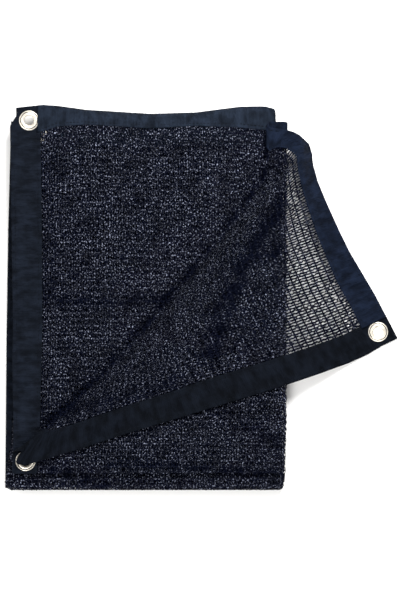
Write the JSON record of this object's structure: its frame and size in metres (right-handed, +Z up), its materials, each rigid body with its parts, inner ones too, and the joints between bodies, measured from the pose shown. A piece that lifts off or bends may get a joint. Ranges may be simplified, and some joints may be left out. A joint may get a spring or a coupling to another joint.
{
  "type": "folded shade cloth",
  "caption": "Knitted shade cloth with taped hems and metal eyelets, folded into a flat pack with the top layer's free corner turned back.",
  "frame": {"origin": "bottom centre of the bounding box, on the surface the pack lies on", "axes": "+Z up from the surface, +Y towards the pack's edge with the long hems, +X towards the turned-back corner"},
  "size_m": [0.4726, 0.463, 0.0321],
  "materials": {
    "knit": "satin",
    "tape": "matte",
    "metal": "satin"
  },
  "bodies": {
    "root": {"knit_panel": "knit", "tape_left": "tape", "tape_top_back": "tape", "tape_top_front": "tape", "tape_end": "tape", "eyelet_back_corner": "metal", "eyelet_left_middle": "metal", "eyelet_turned_corner": "metal", "eyelet_back_middle": "metal", "eyelet_front_middle": "metal", "eyelet_end_back": "metal", "eyelet_end_middle": "metal", "eyelet_end_front": "metal"}
  },
  "joints": []
}
